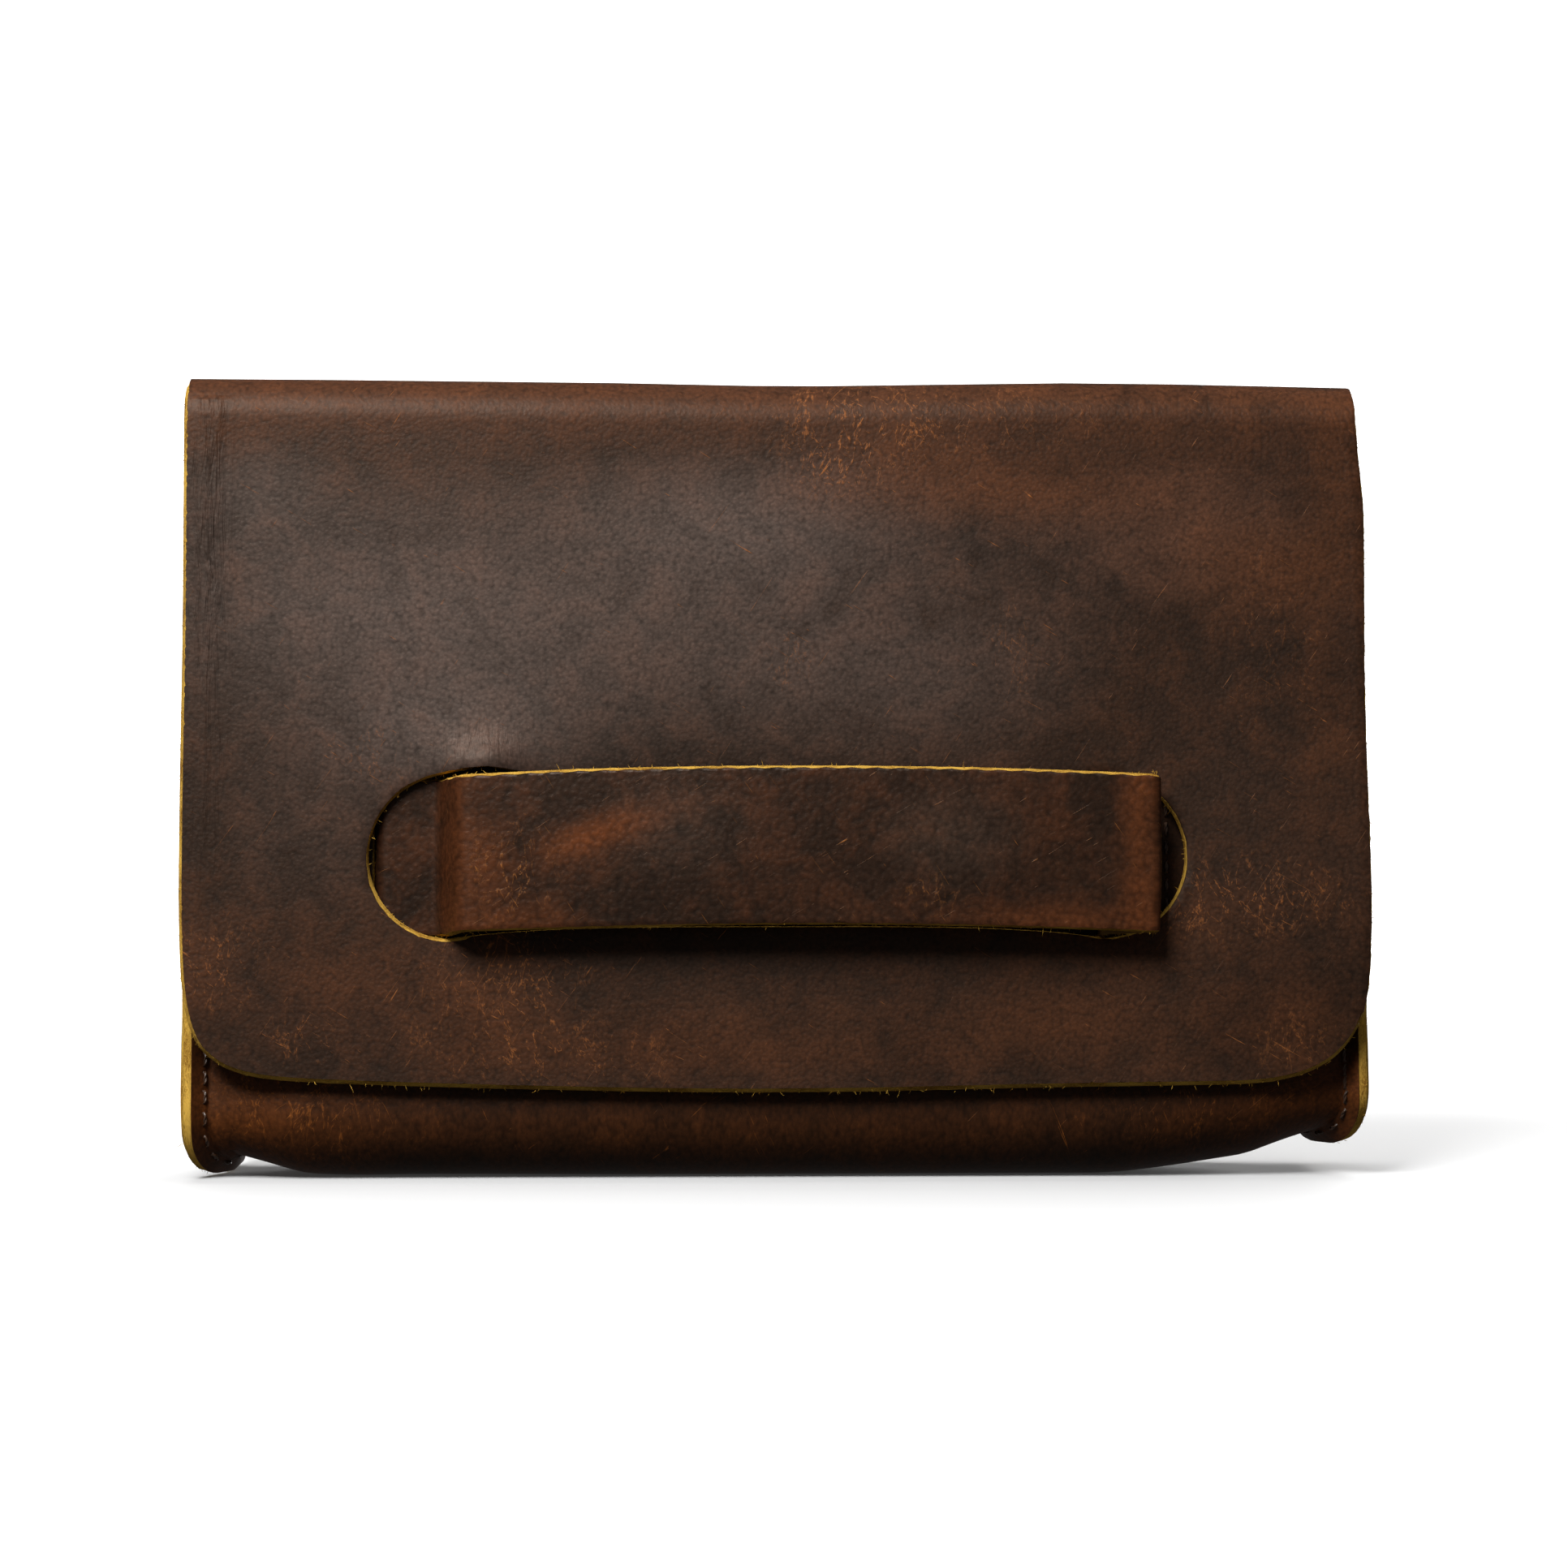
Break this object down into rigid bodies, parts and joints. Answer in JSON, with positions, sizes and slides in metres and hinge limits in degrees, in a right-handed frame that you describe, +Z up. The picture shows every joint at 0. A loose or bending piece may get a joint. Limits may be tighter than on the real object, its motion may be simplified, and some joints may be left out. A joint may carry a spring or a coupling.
{
  "type": "brush case",
  "caption": "Flat leather case for brushes and small tools, with a full front flap held shut by a hand strap that comes through a long slot.",
  "frame": {"origin": "centre of the footprint on the surface it stands on", "axes": "+Z up, the front flap faces -Y, +X to the right seen from the front"},
  "size_m": [0.235, 0.0512, 0.159],
  "materials": {
    "panel_leather": "waxed pull-up leather",
    "flap_leather": "waxed pull-up leather",
    "strap_leather": "waxed pull-up leather, coarse grain",
    "sleeve_leather": "natural flesh side",
    "thread": "waxed thread"
  },
  "bodies": {
    "case": {"main_panel": "panel_leather", "left_gusset": "panel_leather", "right_gusset": "panel_leather", "strap_left_end": "strap_leather", "strap_right_end": "strap_leather", "brush_sleeve": "sleeve_leather", "left_seam_thread": "thread", "right_seam_thread": "thread", "left_tab_thread": "thread", "right_tab_thread": "thread", "sleeve_thread": "thread"},
    "flap_top": {"flap_roof": "flap_leather"},
    "flap_hanging": {"flap_front": "flap_leather"},
    "strap": {"strap_grip": "strap_leather"}
  },
  "joints": [
    {"name": "flap_rear_fold", "type": "hinge", "parent": "case", "child": "flap_top", "pos_m": [0, 0.02432, 0.147], "axis": [-1, 0, 0], "range_deg": [0, 120]},
    {"name": "flap_front_fold", "type": "hinge", "parent": "flap_top", "child": "flap_hanging", "pos_m": [0, -0.00795, 0.14887], "axis": [-1, 0, 0], "range_deg": [0, 90], "deforming": ["strap_grip"]},
    {"name": "strap_pull", "type": "slide", "parent": "case", "child": "strap", "axis": [0, -0.9962, 0.0872], "range_m": [-0.002, 0.012], "deforming": ["strap_left_end", "strap_right_end"]}
  ]
}
